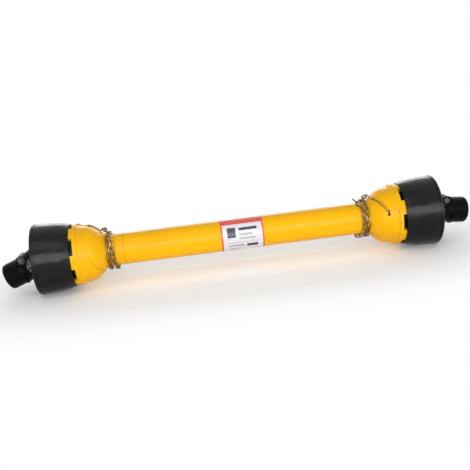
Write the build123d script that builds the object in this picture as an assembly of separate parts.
from build123d import *
from math import atan, cos, degrees, hypot, pi, radians, sin, sqrt
import os

# A telescoping PTO drive shaft in its safety guard. Millimetres, +Z up, shaft along X.
# Each half is drawn in a half frame: origin at the centre of its universal joint, +X outboard
# along the shaft, +Z up. Stations inboard of the joint are written as positive distances and
# drawn at negative X. The left half is the half frame turned 180 degrees about Z.

# Whole shaft, pushed together and lying on its two guard cones
joint_span = 810.0            # between the two joint centres
droop = {"left": 20.0, "right": 6.0}   # how far each end yoke hangs at rest, degrees
side_turn = {"left": 180.0, "right": 0.0}
end_sign = {"left": -1, "right": 1}
run_clearance = 0.05          # radial, for steel turning in steel

# Universal joint
cup_r = 11.9
cup_span = 61.3               # over the outer faces of two opposite cups
cup_depth = 14.6
cup_floor = 2.4
trunnion_r = 8.0
spider_r = 11.0               # shoulders under the seals
spider_core = 12.5
seal_depth = 1.7
ring_depth = 1.5
ring_bite = 0.8               # how deep a snap ring sits in its groove
ring_width = 2.6
ring_opening = 50.0           # degrees
nipple_seat = 14.0            # flat for the grease nipple, from the cross's centre
nipple_thread = 4.0
nipple_r = 3.2
nipple_length = 8.5
nipple_foot = 3.0
nipple_head = 3.0
nipple_head_r = 2.56
nipple_slope = 1.0
nipple_play = 0.3
bearing_play = 0.15           # along each trunnion
seal_play = (0.4, 0.1)        # round a seal, and round its trunnion

# Forks of the yokes
ear_r = 18.5
ear_face = 34.5               # outer face of an ear from the shaft axis
fork_gap = 39.0               # between the two ears
fork_depth = 38.0
fork_round = 12.0
ear_sweep_r = 37.4            # the ears' free ends stay inside this ball
ear_flat = 16.0
neck_station = 44.0
neck_step = 0.8               # the fork's neck stands this much proud of the hub
ear_relief = 3.2              # chamfer inside the ears, so that the two forks pass each other

# End yoke hub: 1 3/8 inch, six splines
hub_end = 91.0
waist_r = 26.6
collar_r = 27.4
bead_r = 29.0
bead_start = 52.0
bead_width = 4.0
end_round = 8.0               # the hub's free end is forged round
spline_count = 6
spline_minor_r = 14.95
spline_major_r = 17.5
spline_width = 8.7
mouth_chamfer = 3.0
hub_overlap = 4.0             # how far the hub's cylinder runs into the fork's neck
spline_start = 32.0

# Push pin of the quick release
boss_station = 44.0
boss_offset = 22.2            # pin axis from the hub axis
boss_r = 9.5
boss_half = 17.0
boss_chamfer = 1.5
pin_r = 5.45
pin_hole_r = 5.5
pin_waist_r = 3.4
pin_waist_length = 9.0
pin_slope = 2.0
pin_chamfer = 1.0
pin_groove = 1.2              # depth of the clip's groove
button_r = 7.1
button_hole_r = 7.2
button_depth = 3.0
button_set_back = 2.0
spring_room = 10.0            # from the shoulder to the button's back
spring_wire_r = 0.6
spring_turns = 4
spring_play = 0.2
pin_tail = 4.0
clip_depth = 1.2
clip_r = 7.6
clip_spot_play = 0.8

# Tube yokes and drive tubes
tube_hub_r = 27.0
tube_hub_end = 108.0
hub_chamfer = 1.5
tube_socket = 58.0
groove_r = 24.0
groove_start = 92.0
groove_width = 8.6
lobe_pitch_r = 13.75
outer_lobe_r = 8.0
outer_wall = 3.4
tube_play = 0.4
inner_wall = 3.2
drive_tube_gap = 27.0         # from each drive tube's free end to the other tube yoke
roll_pin_station = 76.0
roll_pin_r = 5.0
roll_pin_wall = 1.6
roll_pin_slit = 1.4

# Guard bearing ring
bearing_width = 8.0
bearing_r = 34.9
bearing_split = 8.0
guard_run = 0.06

# Guard bell
bell_wall = 3.0
rim_station = 64.0
rim_width = 7.0
rim_r = 63.5
barrel_r = 60.5
barrel_end_r = 56.8
barrel_end = 86.0
shoulder_arc_r = 37.0
shoulder_angle = 37.0
neck_r = 34.6
spigot_fit_r = 54.4           # bore of the barrel, where the cone's spigot plugs in
sleeve_start = 90.0
sleeve_bore_r = 35.0
sleeve_wall = 3.0
tube_seat = 119.0
seat_bore_r = 31.0
tooth_count = 6
tooth_arc = 27.0
tooth_length = 6.6
tooth_centre = {"left": 59.0, "right": 24.0}
panel_rise = 2.2
panel_arc = 80.0
panel_edge = {"left": 8.0, "right": 22.0}
panel_short = 91.0
panel_long = 127.0
lug_r = 64.6
lug_start = 67.0
lug_length = 10.0
lug_arc = 13.0
lug_lag = 70.0                # degrees round from the panel's edge
slot_station = 92.0
slot_length = 5.0
slot_width = 11.0

# Guard cone
cone_mouth = 20.0
cone_start = 57.0
cone_wall = 3.2
cone_small_r = 65.2
cone_mid_r = 71.4
cone_large_r = 73.0
lip_start = 12.0
lip_r = 73.5
lip_groove = 1.2
lip_round = 3.5
lip_lean = 1.4                # the mouth's bore is this much wider than the lip's wall
spigot_end = 83.0
spigot_wall = 3.0
spigot_play = 0.2
cone_step_length = 14.0       # short steep run next to the bell
cone_step_rise = 3.6
cone_middle = 18.0
cone_bulge = 0.3

# Guard tubes, collar and label
guard_tube_r = 33.0
guard_tube_wall = 2.8
guard_play = 0.5
inner_guard_wall = 2.6
collar_reach = 36.5           # how far the collar stands out of the left bell's neck
collar_gap = 0.5              # between the collar and the outer guard tube
guard_tube_gap = 71.0         # from the inner guard tube's free end to the right bell
label_start = -38.0
label_end = 52.0
label_thickness = 0.25
label_glue = 0.03
label_low = -81.0
label_high = 94.0

# Retaining chains
link_wire_r = 1.3
link_length = 20.4
link_width = 10.0
link_pitch = 14.8
link_bends = 4                # straight pieces round each end of a link
link_sides = 6
chain_lift = 5.0              # link centres above the tube's surface
hook_wire_r = 1.4
hook_bend_r = 2.2
hook_play = 0.1
hook_rise = 0.7               # wire's underside above the bell's plain skin
hook_depth = 4.2              # how far the wire's end stands inside the bell's skin
end_hook_drop = 3.6
end_hook_lift = 4.0
end_hook_runs = (9.0, 12.0, 16.0)

# Route of each bell hook's wire: inboard station, and degrees round from the front
hook_route = {
    "left": [(92, 101), (99, 102), (106, 103), (113, 104), (120, 105)],
    "right": [(92, 17), (98, 27), (105, 41), (113, 60), (118, 76)],
}

# Route of each chain: degrees round from the front, distance inboard of the bell's neck, and lift
chain_route = {
    "left": [(103, -2, 8.6), (140, 3, 4), (180, 4.5, 0), (430, 4.5, 0), (520, 13.5, 0), (630, 19, 0),
             (715, 13.6, 0), (740, 12.9, 4), (760, 12.3, 8), (778, 9, 9)],
    "right": [(100, -4, 8.8), (135, 2.5, 4), (180, 4.6, 0), (430, 4.6, 0), (600, 27, 0), (680, 13, 0),
              (765, 13, 0), (802, 20, 0)],
}


def turned(*points):
    """A full turn about the shaft axis of a closed outline of (station, radius) points."""
    return revolve(make_face(Polyline(*points, close=True)), Axis.X, 360)


def rod(r, start, end):
    return turned((start, 0), (end, 0), (end, r), (start, r))


def sleeve(r, bore, start, end):
    return turned((start, bore), (end, bore), (end, r), (start, r))


def ring_sector(r, bore, start, end, centre, arc):
    """Part of a ring, its middle turned `centre` degrees about X from +Y."""
    outline = Polyline((start, bore), (end, bore), (end, r), (start, r), close=True)
    return Rotation(centre - arc / 2, 0, 0) * revolve(make_face(outline), Axis.X, arc)


def about_x(side, angle):
    """Turn about the half frame's X that points at `angle`, measured from the viewer's side up."""
    return angle if side == "left" else 180 - angle


def along_z(shape):
    """Lay a piece drawn along X upright along Z."""
    return Rotation(0, -90, 0) * shape


def opposite_pair(piece):
    """A piece drawn on the upper trunnion, and its twin on the lower one."""
    return piece + Rotation(180, 0, 0) * piece


# Universal joint pieces, drawn on the Z axis of the joint

def ear_bevel(across, up):
    """Wedge that bevels the inner edge of one side of an ear."""
    y, z = ear_r - ear_relief, fork_gap / 2
    section = Polyline((across * y, up * z), (across * (y + ear_r), up * (z + ear_r)),
                       (across * (y + ear_r), up * z), close=True)
    bar = extrude(Plane.YZ * make_face(section), amount=ear_r + ear_flat + ear_relief)
    return Pos(-ear_r, 0, 0) * bar


def fork(hub_r):
    """Two ears above and below the joint centre, running back into a round neck."""
    root = hub_r + 2 * neck_step
    corner_r = hypot(ear_r, ear_face) + neck_step
    side = Polyline((-ear_r, -ear_face), (ear_flat, -ear_face), (neck_station, -root),
                    (neck_station, root), (ear_flat, ear_face), (-ear_r, ear_face), close=True)
    flank = Polyline((0, -ear_r), (ear_flat, -ear_r), (neck_station, -root),
                     (neck_station, root), (ear_flat, ear_r), (0, ear_r), close=True)
    blank = extrude(Plane.XZ * make_face(side), amount=root, both=True)
    blank = blank & extrude(Circle(ear_r) + make_face(flank), amount=ear_face, both=True)
    blank = blank & (Sphere(ear_sweep_r) + turned(
        (0, 0), (0, corner_r), (ear_flat, corner_r), (neck_station, hub_r + neck_step), (neck_station, 0)))
    slot_reach = fork_depth + 2 * ear_r
    slot = Box(slot_reach, 3 * root, fork_gap)
    slot = fillet(slot.edges().filter_by(Axis.Y).group_by(Axis.X)[-1], fork_round)
    blank -= Pos(fork_depth - slot_reach / 2, 0, 0) * slot
    for across in (1, -1):
        for up in (1, -1):
            blank -= ear_bevel(across, up)
    blank -= along_z(rod(cup_r, -2 * ear_face, 2 * ear_face))
    groove = along_z(rod(cup_r + ring_bite, cup_span / 2, cup_span / 2 + ring_depth))
    return blank - groove - Rotation(180, 0, 0) * groove


def cup():
    inner_end = cup_span / 2 - cup_depth
    bore = rod(trunnion_r + run_clearance, inner_end, cup_span / 2 - cup_floor)
    return along_z(rod(cup_r, inner_end, cup_span / 2) - bore)


def seal():
    inner_end = cup_span / 2 - cup_depth
    outer_play, inner_play = seal_play
    return along_z(sleeve(cup_r - outer_play, trunnion_r + inner_play, inner_end - seal_depth, inner_end))


def snap_ring():
    ring = sleeve(cup_r + ring_bite, cup_r + ring_bite - ring_width,
                  cup_span / 2, cup_span / 2 + ring_depth)
    gap = ring_sector(2 * cup_r, 0, cup_span / 2 - ring_depth, cup_span / 2 + 2 * ring_depth, 0,
                      ring_opening)
    return along_z(ring - gap)


def cross():
    """Four trunnions on a round core, drilled for the grease nipple between two of them."""
    reach = cup_span / 2 - cup_floor - bearing_play
    shoulder = cup_span / 2 - cup_depth - seal_depth - bearing_play
    trunnion = along_z(rod(trunnion_r, -reach, reach) + rod(spider_r, -shoulder, shoulder))
    body = trunnion + Rotation(90, 0, 0) * trunnion + Sphere(spider_core)
    body -= nipple_place() * rod(nipple_r / 2, nipple_seat - nipple_thread, 2 * nipple_seat)
    return body - nipple_place() * rod(nipple_r + nipple_play, nipple_seat, 2 * nipple_seat)


def nipple_place():
    """Frame of the grease nipple, pointing between two trunnions."""
    return Rotation(45, 0, 0) * Rotation(0, 0, 90)


def grease_nipple():
    tip = nipple_seat + nipple_length
    root = nipple_seat - nipple_thread
    foot = nipple_seat + nipple_foot
    shape = turned((root, 0), (tip, 0), (tip, nipple_r / 2), (tip - nipple_slope, nipple_head_r),
                   (tip - nipple_head, nipple_r / 2), (foot, nipple_r / 2), (foot, nipple_r),
                   (nipple_seat, nipple_r), (nipple_seat, nipple_r / 2), (root, nipple_r / 2))
    return nipple_place() * shape


# End yoke and its quick release, drawn with the hub along +X

def pin_frame():
    """Frame of the push pin: its own +X is the pin axis, towards the button."""
    return Pos(boss_station, 0, boss_offset) * Rotation(0, 0, -90)


def end_yoke():
    bead_end = bead_start + bead_width
    round_start = hub_end - end_round
    round_middle = end_round * sqrt(0.5)
    collar = revolve(make_face([
        Polyline((hub_end, collar_r - end_round), (hub_end, 0), (bead_start, 0), (bead_start, bead_r),
                 (bead_end, bead_r), (bead_end, collar_r), (round_start, collar_r)),
        ThreePointArc((round_start, collar_r),
                      (round_start + round_middle, collar_r - end_round + round_middle),
                      (hub_end, collar_r - end_round)),
    ]), Axis.X, 360)
    boss_flat = boss_half - boss_chamfer
    boss = turned((-boss_half, 0), (-boss_half, boss_r - boss_chamfer), (-boss_flat, boss_r),
                  (boss_flat, boss_r), (boss_half, boss_r - boss_chamfer), (boss_half, 0))
    body = fork(waist_r) + rod(waist_r, neck_station - hub_overlap, bead_start) + collar
    body += pin_frame() * boss
    splines = Circle(spline_minor_r)
    for i in range(spline_count):
        splines += Rot(Z=360 / spline_count * i) * Pos(spline_major_r / 2) * Rectangle(
            spline_major_r, spline_width)
    splines = splines & Circle(spline_major_r)
    body -= Pos(spline_start, 0, 0) * extrude(Plane.YZ * splines, amount=hub_end)
    body -= turned((hub_end - mouth_chamfer, 0), (hub_end - mouth_chamfer, spline_minor_r),
                   (hub_end + mouth_chamfer, spline_minor_r + 2 * mouth_chamfer),
                   (hub_end + mouth_chamfer, 0))
    shoulder = boss_half - button_set_back - button_depth - spring_room
    body -= pin_frame() * rod(pin_hole_r, -2 * boss_half, shoulder)
    body -= pin_frame() * rod(button_hole_r, shoulder, 2 * boss_half)
    return body - pin_frame() * rod(clip_r + clip_spot_play, -2 * boss_half, -boss_half)


def push_pin():
    button_end = boss_half - button_set_back
    button_back = button_end - button_depth
    shoulder = button_back - spring_room
    tail = boss_half + clip_depth
    half_waist = pin_waist_length / 2
    groove_floor_r = pin_r - pin_groove
    tip = -tail - pin_tail
    stem_start = shoulder - pin_chamfer
    shape = turned(
        (tip, 0), (tip, pin_r - pin_chamfer), (tip + pin_chamfer, pin_r), (-tail, pin_r),
        (-tail, groove_floor_r), (-boss_half, groove_floor_r), (-boss_half, pin_r),
        (-2 * half_waist, pin_r), (-2 * half_waist + pin_slope, pin_waist_r), (-half_waist, pin_waist_r),
        (-half_waist + pin_slope, pin_r), (stem_start, pin_r), (stem_start, pin_waist_r),
        (button_back, pin_waist_r), (button_back, button_r), (button_end - pin_chamfer, button_r),
        (button_end, button_r - pin_chamfer), (button_end, 0))
    return pin_frame() * shape


def push_pin_spring():
    """Coil under the button, pushing it out."""
    shoulder = boss_half - button_set_back - button_depth - spring_room
    coil_r = (button_hole_r + pin_waist_r) / 2
    height = spring_room - 2 * spring_wire_r - 2 * spring_play
    helix = Helix(pitch=height / spring_turns, height=height, radius=coil_r)
    wire = sweep(Plane(origin=helix @ 0, z_dir=helix % 0) * Circle(spring_wire_r), path=helix)
    return pin_frame() * Pos(shoulder + spring_wire_r + spring_play, 0, 0) * Rotation(0, 90, 0) * wire


def pin_clip():
    """Open ring on the pin's tail, which keeps the button in its hole."""
    ring = sleeve(clip_r, pin_r - pin_groove, -boss_half - clip_depth, -boss_half)
    return pin_frame() * (ring - Pos(-boss_half, clip_r, 0) * Box(4 * clip_depth, 2 * clip_r, pin_r))


# Tube yoke, drive tubes and roll pin, inboard of the joint

def lobed(lobe_r, start, end):
    """Three-lobed bar between two stations on the inboard side."""
    lobes = [Rot(Z=120 * i + 90) * Pos(lobe_pitch_r) * Circle(lobe_r) for i in range(3)]
    outline = make_hull([edge for lobe in lobes for edge in lobe.edges()])
    return Pos(-end, 0, 0) * extrude(Plane.YZ * outline, amount=end - start)


def roll_pin_hole():
    return Pos(-roll_pin_station, 0, 0) * along_z(rod(roll_pin_r, -2 * tube_hub_r, 2 * tube_hub_r))


def tube_yoke(socket_lobe_r):
    """Fork with its ears level, a groove for the bearing ring and a lobed socket."""
    body = Rotation(90, 0, 0) * Rotation(0, 180, 0) * fork(tube_hub_r)
    groove_end = groove_start + groove_width
    hub_start = -neck_station + hub_overlap
    body += turned((hub_start, 0), (hub_start, tube_hub_r), (-groove_start, tube_hub_r),
                   (-groove_start, groove_r), (-groove_end, groove_r), (-groove_end, tube_hub_r),
                   (-tube_hub_end + hub_chamfer, tube_hub_r), (-tube_hub_end, tube_hub_r - hub_chamfer),
                   (-tube_hub_end, 0))
    return body - lobed(socket_lobe_r, tube_socket, 2 * tube_hub_end) - roll_pin_hole()


def drive_tube(lobe_r, wall):
    free_end = joint_span - tube_hub_end - drive_tube_gap
    tube = lobed(lobe_r, tube_socket, free_end) - lobed(lobe_r - wall, 0, 2 * free_end)
    return tube - roll_pin_hole()


def roll_pin():
    half = sqrt(tube_hub_r ** 2 - roll_pin_r ** 2)
    pin = sleeve(roll_pin_r, roll_pin_r - roll_pin_wall, -half, half)
    pin -= Pos(0, 0, roll_pin_r) * Box(3 * half, roll_pin_slit, 2 * roll_pin_r)
    return Pos(-roll_pin_station, 0, 0) * along_z(pin)


# Guard pieces

def guard_bearing():
    middle = groove_start + groove_width / 2
    ring = sleeve(bearing_r, groove_r + guard_run, -middle - bearing_width / 2, -middle + bearing_width / 2)
    return ring - Pos(-middle, 0, bearing_r) * Box(2 * bearing_width, bearing_split, 2 * bearing_r - groove_r)


def shoulder_end():
    """Where the bell's rounded shoulder turns into a straight slope, as (inboard, radius)."""
    lean = radians(shoulder_angle)
    return (barrel_end + shoulder_arc_r * sin(lean),
            barrel_end_r - shoulder_arc_r * (1 - cos(lean)))


def neck_end():
    inboard, r = shoulder_end()
    return inboard + (r - neck_r) / sin(radians(shoulder_angle)) * cos(radians(shoulder_angle))


def bell_side(rise):
    """The bell's outer line from barrel to neck, raised by `rise`: edges and their last point."""
    lean = radians(shoulder_angle)
    mid = lean / 2
    centre_r = barrel_end_r - shoulder_arc_r
    arc_r = shoulder_arc_r + rise
    start = (-rim_station - rim_width, barrel_r + rise)
    bend = (-barrel_end, barrel_end_r + rise)
    middle = (-barrel_end - arc_r * sin(mid), centre_r + arc_r * cos(mid))
    end = (-barrel_end - arc_r * sin(lean), centre_r + arc_r * cos(lean))
    return [Line(start, bend), ThreePointArc(bend, middle, end)], start, end


def bell_shell():
    sleeve_r = sleeve_bore_r + sleeve_wall
    lean = radians(shoulder_angle)
    outer, outer_start, outer_end = bell_side(0)
    inner, inner_start, inner_end = bell_side(-bell_wall)
    slope = cos(lean) / sin(lean)
    join = (inner_end[0] - (inner_end[1] - sleeve_r) * slope, sleeve_r)
    rim = -rim_station
    groove_end = -groove_start - groove_width
    outline = outer + inner + [
        Polyline(outer_end, (-neck_end(), neck_r), (-neck_end(), guard_tube_r), (-tube_seat, guard_tube_r),
                 (-tube_seat, seat_bore_r), (groove_end, seat_bore_r), (groove_end, sleeve_bore_r),
                 (-sleeve_start, sleeve_bore_r), (-sleeve_start, sleeve_r), join, inner_end),
        Polyline(inner_start, (inner_start[0], spigot_fit_r), (rim, spigot_fit_r), (rim, rim_r),
                 (outer_start[0], rim_r), outer_start),
    ]
    return revolve(make_face(outline), Axis.X, 360)


def raised_panel(edge):
    """Skin a little proud of the bell, cut off on a slant across the shoulder."""
    outer, outer_start, outer_end = bell_side(panel_rise)
    inner, inner_start, inner_end = bell_side(-bell_wall / 2)
    outline = outer + inner + [Line(outer_start, inner_start),
                               Polyline(outer_end, (-neck_end(), neck_r), inner_end)]
    skin = revolve(make_face(outline), Axis.X, panel_arc)
    skin = Rotation(edge - panel_arc, 0, 0) * skin
    slope = (panel_long - panel_short) / (2 * barrel_r * sin(radians(panel_arc / 2)))
    reach = 2 * barrel_r
    beyond = Rotation(0, degrees(atan(slope)), 0) * Pos(-reach, 0, 0) * Box(
        2 * reach, 2 * reach, 4 * reach)
    middle = Pos(-(panel_short + panel_long) / 2, 0, 0) * Pos(0, reach, 0)
    return skin - Rotation(edge - panel_arc / 2, 0, 0) * middle * beyond


def guard_bell(side):
    edge = about_x(side, panel_edge[side])
    bell = bell_shell()
    for i in range(tooth_count):
        centre = about_x(side, tooth_centre[side] + 360 / tooth_count * i)
        bell += ring_sector(rim_r, spigot_fit_r, -rim_station, -rim_station + tooth_length, centre, tooth_arc)
    for half_turn in (0, 180):
        bell += raised_panel(edge + half_turn)
        lug_centre = edge + half_turn - lug_lag
        bell += ring_sector(lug_r, spigot_fit_r + bell_wall / 2, -lug_start - lug_length, -lug_start,
                            lug_centre, lug_arc)
        slot = Pos(-slot_station, barrel_end_r, 0) * Box(slot_length, barrel_end_r / 3, slot_width)
        bell -= Rotation(about_x(side, hook_route[side][0][1]) + half_turn, 0, 0) * slot
    return bell


def guard_cone():
    """Flexible cone: spigot, stepped small end, curved flank and a thick rounded lip."""
    flank = [(-cone_start, cone_small_r), (-cone_start + cone_step_length, cone_small_r + cone_step_rise),
             (-cone_middle, cone_mid_r), (0, (cone_mid_r + cone_large_r) / 2 + cone_bulge),
             (lip_start, cone_large_r)]
    lining = [(-cone_start + cone_wall, cone_small_r - cone_wall + 2 * cone_bulge)]
    lining += [(x, r - cone_wall) for x, r in flank[1:]]
    lining += [(cone_mouth, lip_r - cone_wall - lip_lean)]
    spigot_r = spigot_fit_r - spigot_play
    groove_floor_r = cone_large_r - lip_groove
    round_start = cone_mouth - lip_round
    round_middle = lip_round * sqrt(0.5)
    lip = [
        Polyline(flank[-1], (lip_start, groove_floor_r), (lip_start + lip_groove, groove_floor_r),
                 (lip_start + lip_groove, lip_r), (round_start, lip_r)),
        ThreePointArc((round_start, lip_r),
                      (round_start + round_middle, lip_r - lip_round + round_middle),
                      (cone_mouth, lip_r - lip_round)),
        Line((cone_mouth, lip_r - lip_round), lining[-1]),
    ]
    spigot = Polyline(lining[0], (-cone_start + cone_wall, spigot_r - spigot_wall),
                      (-spigot_end, spigot_r - spigot_wall), (-spigot_end, spigot_r),
                      (-cone_start, spigot_r), flank[0])
    return revolve(make_face([Spline(*flank)] + lip + [Spline(*lining), spigot]), Axis.X, 360)


def collar_end():
    return neck_end() + collar_reach


def guard_collar():
    """Filler sleeve between the inner guard tube and the left bell, level with the outer tube."""
    bore = guard_tube_r - guard_tube_wall - guard_play
    return sleeve(guard_tube_r, bore, -collar_end(), -tube_seat)


# Retaining chains

def chain_link():
    """One welded link in the XY plane, faceted, centred, with its length along X."""
    bend_r = link_width / 2 - link_wire_r
    half_straight = link_length / 2 - link_wire_r - bend_r
    rings = []
    for end in (1, -1):
        for i in range(link_bends + 1):
            angle = pi * i / link_bends - pi / 2 + (0 if end == 1 else pi)
            mitre = pi / link_bends / 2
            stretch = 1 / cos(mitre if 0 < i < link_bends else mitre / 2)
            out = (cos(angle), sin(angle))
            centre = (end * half_straight + bend_r * out[0], bend_r * out[1])
            rings.append([(centre[0] + out[0] * a * stretch, centre[1] + out[1] * a * stretch, b)
                          for a, b in link_section()])
    faces = []
    for ring, following in zip(rings, rings[1:] + rings[:1]):
        for j in range(link_sides):
            k = (j + 1) % link_sides
            for corners in ((ring[j], ring[k], following[k]), (ring[j], following[k], following[j])):
                faces.append(Face(Wire.make_polygon([Vector(*c) for c in corners], close=True)))
    return Solid(Shell(faces))


def link_section():
    turns = [2 * pi * (j + 0.5) / link_sides for j in range(link_sides)]
    return [(link_wire_r * cos(t), link_wire_r * sin(t)) for t in turns]


def shaft_x(side, inboard):
    """X in the shaft's frame of a station inboard of a joint."""
    return end_sign[side] * (joint_span / 2 - inboard)


def route_point(side, angle):
    """Point of a chain's route at an angle round the tube, in the shaft's frame."""
    stops = chain_route[side]
    angle = min(angle, stops[-1][0])
    for (a0, reach0, lift0), (a1, reach1, lift1) in zip(stops, stops[1:]):
        if angle <= a1:
            t = (angle - a0) / (a1 - a0)
            t = t * t * (3 - 2 * t)
            reach, lift = reach0 + (reach1 - reach0) * t, lift0 + (lift1 - lift0) * t
            break
    r = guard_tube_r + chain_lift + lift
    return Vector(shaft_x(side, neck_end() + reach), -r * cos(radians(angle)), r * sin(radians(angle)))


def chain_knots(side):
    """Points one pitch apart along a chain's route, where neighbouring links meet."""
    stops = chain_route[side]
    knots = [route_point(side, stops[0][0])]
    angle = stops[0][0]
    while True:
        step = 40.0
        low, high = angle, angle + step
        for _ in range(40):
            middle = (low + high) / 2
            if (route_point(side, middle) - knots[-1]).length < link_pitch:
                low = middle
            else:
                high = middle
        if high > stops[-1][0]:
            return knots
        angle = high
        knots.append(route_point(side, angle))


def link_frame(side, knots, i):
    """Middle, direction and face normal of a link: each is a quarter turn from the last."""
    along = (knots[i + 1] - knots[i]).normalized()
    middle = (knots[i] + knots[i + 1]) * 0.5
    outward = Vector(0, middle.Y, middle.Z).normalized()
    across = along.cross(outward).normalized()
    outward = across.cross(along) * end_sign[side]
    normal = across - outward if i % 2 else across + outward
    return middle, along, normal.normalized()


def chain(side):
    knots = chain_knots(side)
    links = []
    for i in range(len(knots) - 1):
        middle, along, normal = link_frame(side, knots, i)
        links.append(Plane(origin=middle, x_dir=along, z_dir=normal) * chain_link())
    return Compound(links)


def bent_wire(points):
    """Round wire along straight runs with rounded corners."""
    path = FilletPolyline(*points, radius=hook_bend_r)
    return sweep(Plane(origin=path @ 0, z_dir=path % 0) * Circle(hook_wire_r), path=path)


def link_eye():
    """How far from a link's middle a hook in its end lies."""
    return link_length / 2 - 2 * link_wire_r - hook_wire_r - hook_play


def chain_hook(side):
    """Wire from a slot of the bell, over its shoulder, through the chain's first link."""
    middle, along, normal = link_frame(side, chain_knots(side), 0)
    eye = middle - along * link_eye()
    towards_bell = normal * end_sign[side]
    stops = hook_route[side]
    points = [hook_point(side, stops[0][0], stops[0][1], -bell_wall - hook_depth)]
    for (station, angle), (next_station, next_angle) in zip(stops, stops[1:]):
        points.append(hook_point(side, station, angle, hook_rise))
        points.append(hook_point(side, (station + next_station) / 2, (angle + next_angle) / 2, hook_rise))
    points.append(hook_point(side, stops[-1][0], stops[-1][1], hook_rise))
    return bent_wire(points + [eye + towards_bell * link_width / 2, eye - towards_bell * link_width / 3])


def hook_point(side, inboard, angle, height):
    """Point above the bell's surface, in the shaft's frame."""
    lean = radians(shoulder_angle)
    bend_end, bend_end_r = shoulder_end()
    if inboard < barrel_end:
        r = barrel_end_r
    elif inboard < bend_end:
        r = barrel_end_r - shoulder_arc_r + sqrt(shoulder_arc_r ** 2 - (inboard - barrel_end) ** 2)
    else:
        r = bend_end_r - (inboard - bend_end) * sin(lean) / cos(lean)
    r += height + hook_wire_r
    return Vector(shaft_x(side, inboard), -r * cos(radians(angle)), r * sin(radians(angle)))


def chain_end_hook(side):
    """S-shaped hook in the last link."""
    knots = chain_knots(side)
    middle, along, normal = link_frame(side, knots, len(knots) - 2)
    up = normal if normal.dot(Vector(0, middle.Y, middle.Z)) > 0 else -normal
    eye = middle + along * link_eye()
    low = eye - up * end_hook_drop
    first, second, last = end_hook_runs
    return bent_wire([eye + up * end_hook_lift, low, low + along * first,
                      eye + along * second + up * end_hook_lift, eye + along * last + up * end_hook_lift / 2])


def label():
    bore = guard_tube_r + label_glue
    return ring_sector(bore + label_thickness, bore, label_start, label_end,
                       180 - (label_low + label_high) / 2, label_high - label_low)


# The assembled shaft

def half_place(side):
    """Where a half frame lies in the shaft's frame, before the shaft is set on the floor."""
    end = -joint_span / 2 if side == "left" else joint_span / 2
    return Pos(end, 0, 0) * Rotation(0, 0, side_turn[side])


def level(piece):
    """Turn a pair drawn on the Z trunnions to the tube yoke's level trunnions."""
    return Rotation(90, 0, 0) * piece


def half_nodes(side):
    base = half_place(side)
    cross_place = base * Rotation(0, droop[side], 0)
    lobe_r = outer_lobe_r if side == "right" else outer_lobe_r - outer_wall - tube_play
    return {
        "end_yoke": cross_place * end_yoke(),
        "push_pin": cross_place * push_pin(),
        "push_pin_spring": cross_place * push_pin_spring(),
        "pin_clip": cross_place * pin_clip(),
        "cross": cross_place * cross(),
        "grease_nipple": cross_place * grease_nipple(),
        "outer_cups": cross_place * opposite_pair(cup()),
        "outer_seals": cross_place * opposite_pair(seal()),
        "outer_snap_rings": cross_place * opposite_pair(snap_ring()),
        "inner_cups": base * level(opposite_pair(cup())),
        "inner_seals": base * level(opposite_pair(seal())),
        "inner_snap_rings": base * level(opposite_pair(snap_ring())),
        "tube_yoke": base * tube_yoke(lobe_r),
        "roll_pin": base * roll_pin(),
        "guard_bearing": base * guard_bearing(),
        "guard_bell": base * guard_bell(side),
        "guard_cone": base * guard_cone(),
        "chain": chain(side),
        "chain_hook": chain_hook(side),
        "chain_end_hook": chain_end_hook(side),
    }


def middle_nodes():
    left, right = half_place("left"), half_place("right")
    inner_lobe_r = outer_lobe_r - outer_wall - tube_play
    outer_guard_end = joint_span - collar_end() - collar_gap
    inner_guard_end = joint_span - tube_seat - guard_tube_gap
    inner_guard_r = guard_tube_r - guard_tube_wall - guard_play
    return {
        "outer_drive_tube": right * drive_tube(outer_lobe_r, outer_wall),
        "inner_drive_tube": left * drive_tube(inner_lobe_r, inner_wall),
        "outer_guard_tube": right * sleeve(guard_tube_r, guard_tube_r - guard_tube_wall,
                                           -outer_guard_end, -tube_seat),
        "inner_guard_tube": left * sleeve(inner_guard_r, inner_guard_r - inner_guard_wall,
                                          -inner_guard_end, -tube_seat),
        "guard_collar": left * guard_collar(),
        "label": label(),
    }


def all_nodes():
    nodes = middle_nodes()
    for side in ("left", "right"):
        for name, piece in half_nodes(side).items():
            nodes[side + "_" + name] = piece
    return nodes


nodes = all_nodes()
boxes = [piece.bounding_box() for piece in nodes.values()]
low = [min(tuple(box.min)[i] for box in boxes) for i in range(3)]
high = [max(tuple(box.max)[i] for box in boxes) for i in range(3)]
shift = Pos(-(low[0] + high[0]) / 2, -(low[1] + high[1]) / 2, -low[2])

os.makedirs("parts", exist_ok=True)
for name, piece in nodes.items():
    export_step(shift * piece, "parts/" + name + ".step")
print("shaft origin moved by", tuple(shift.position))
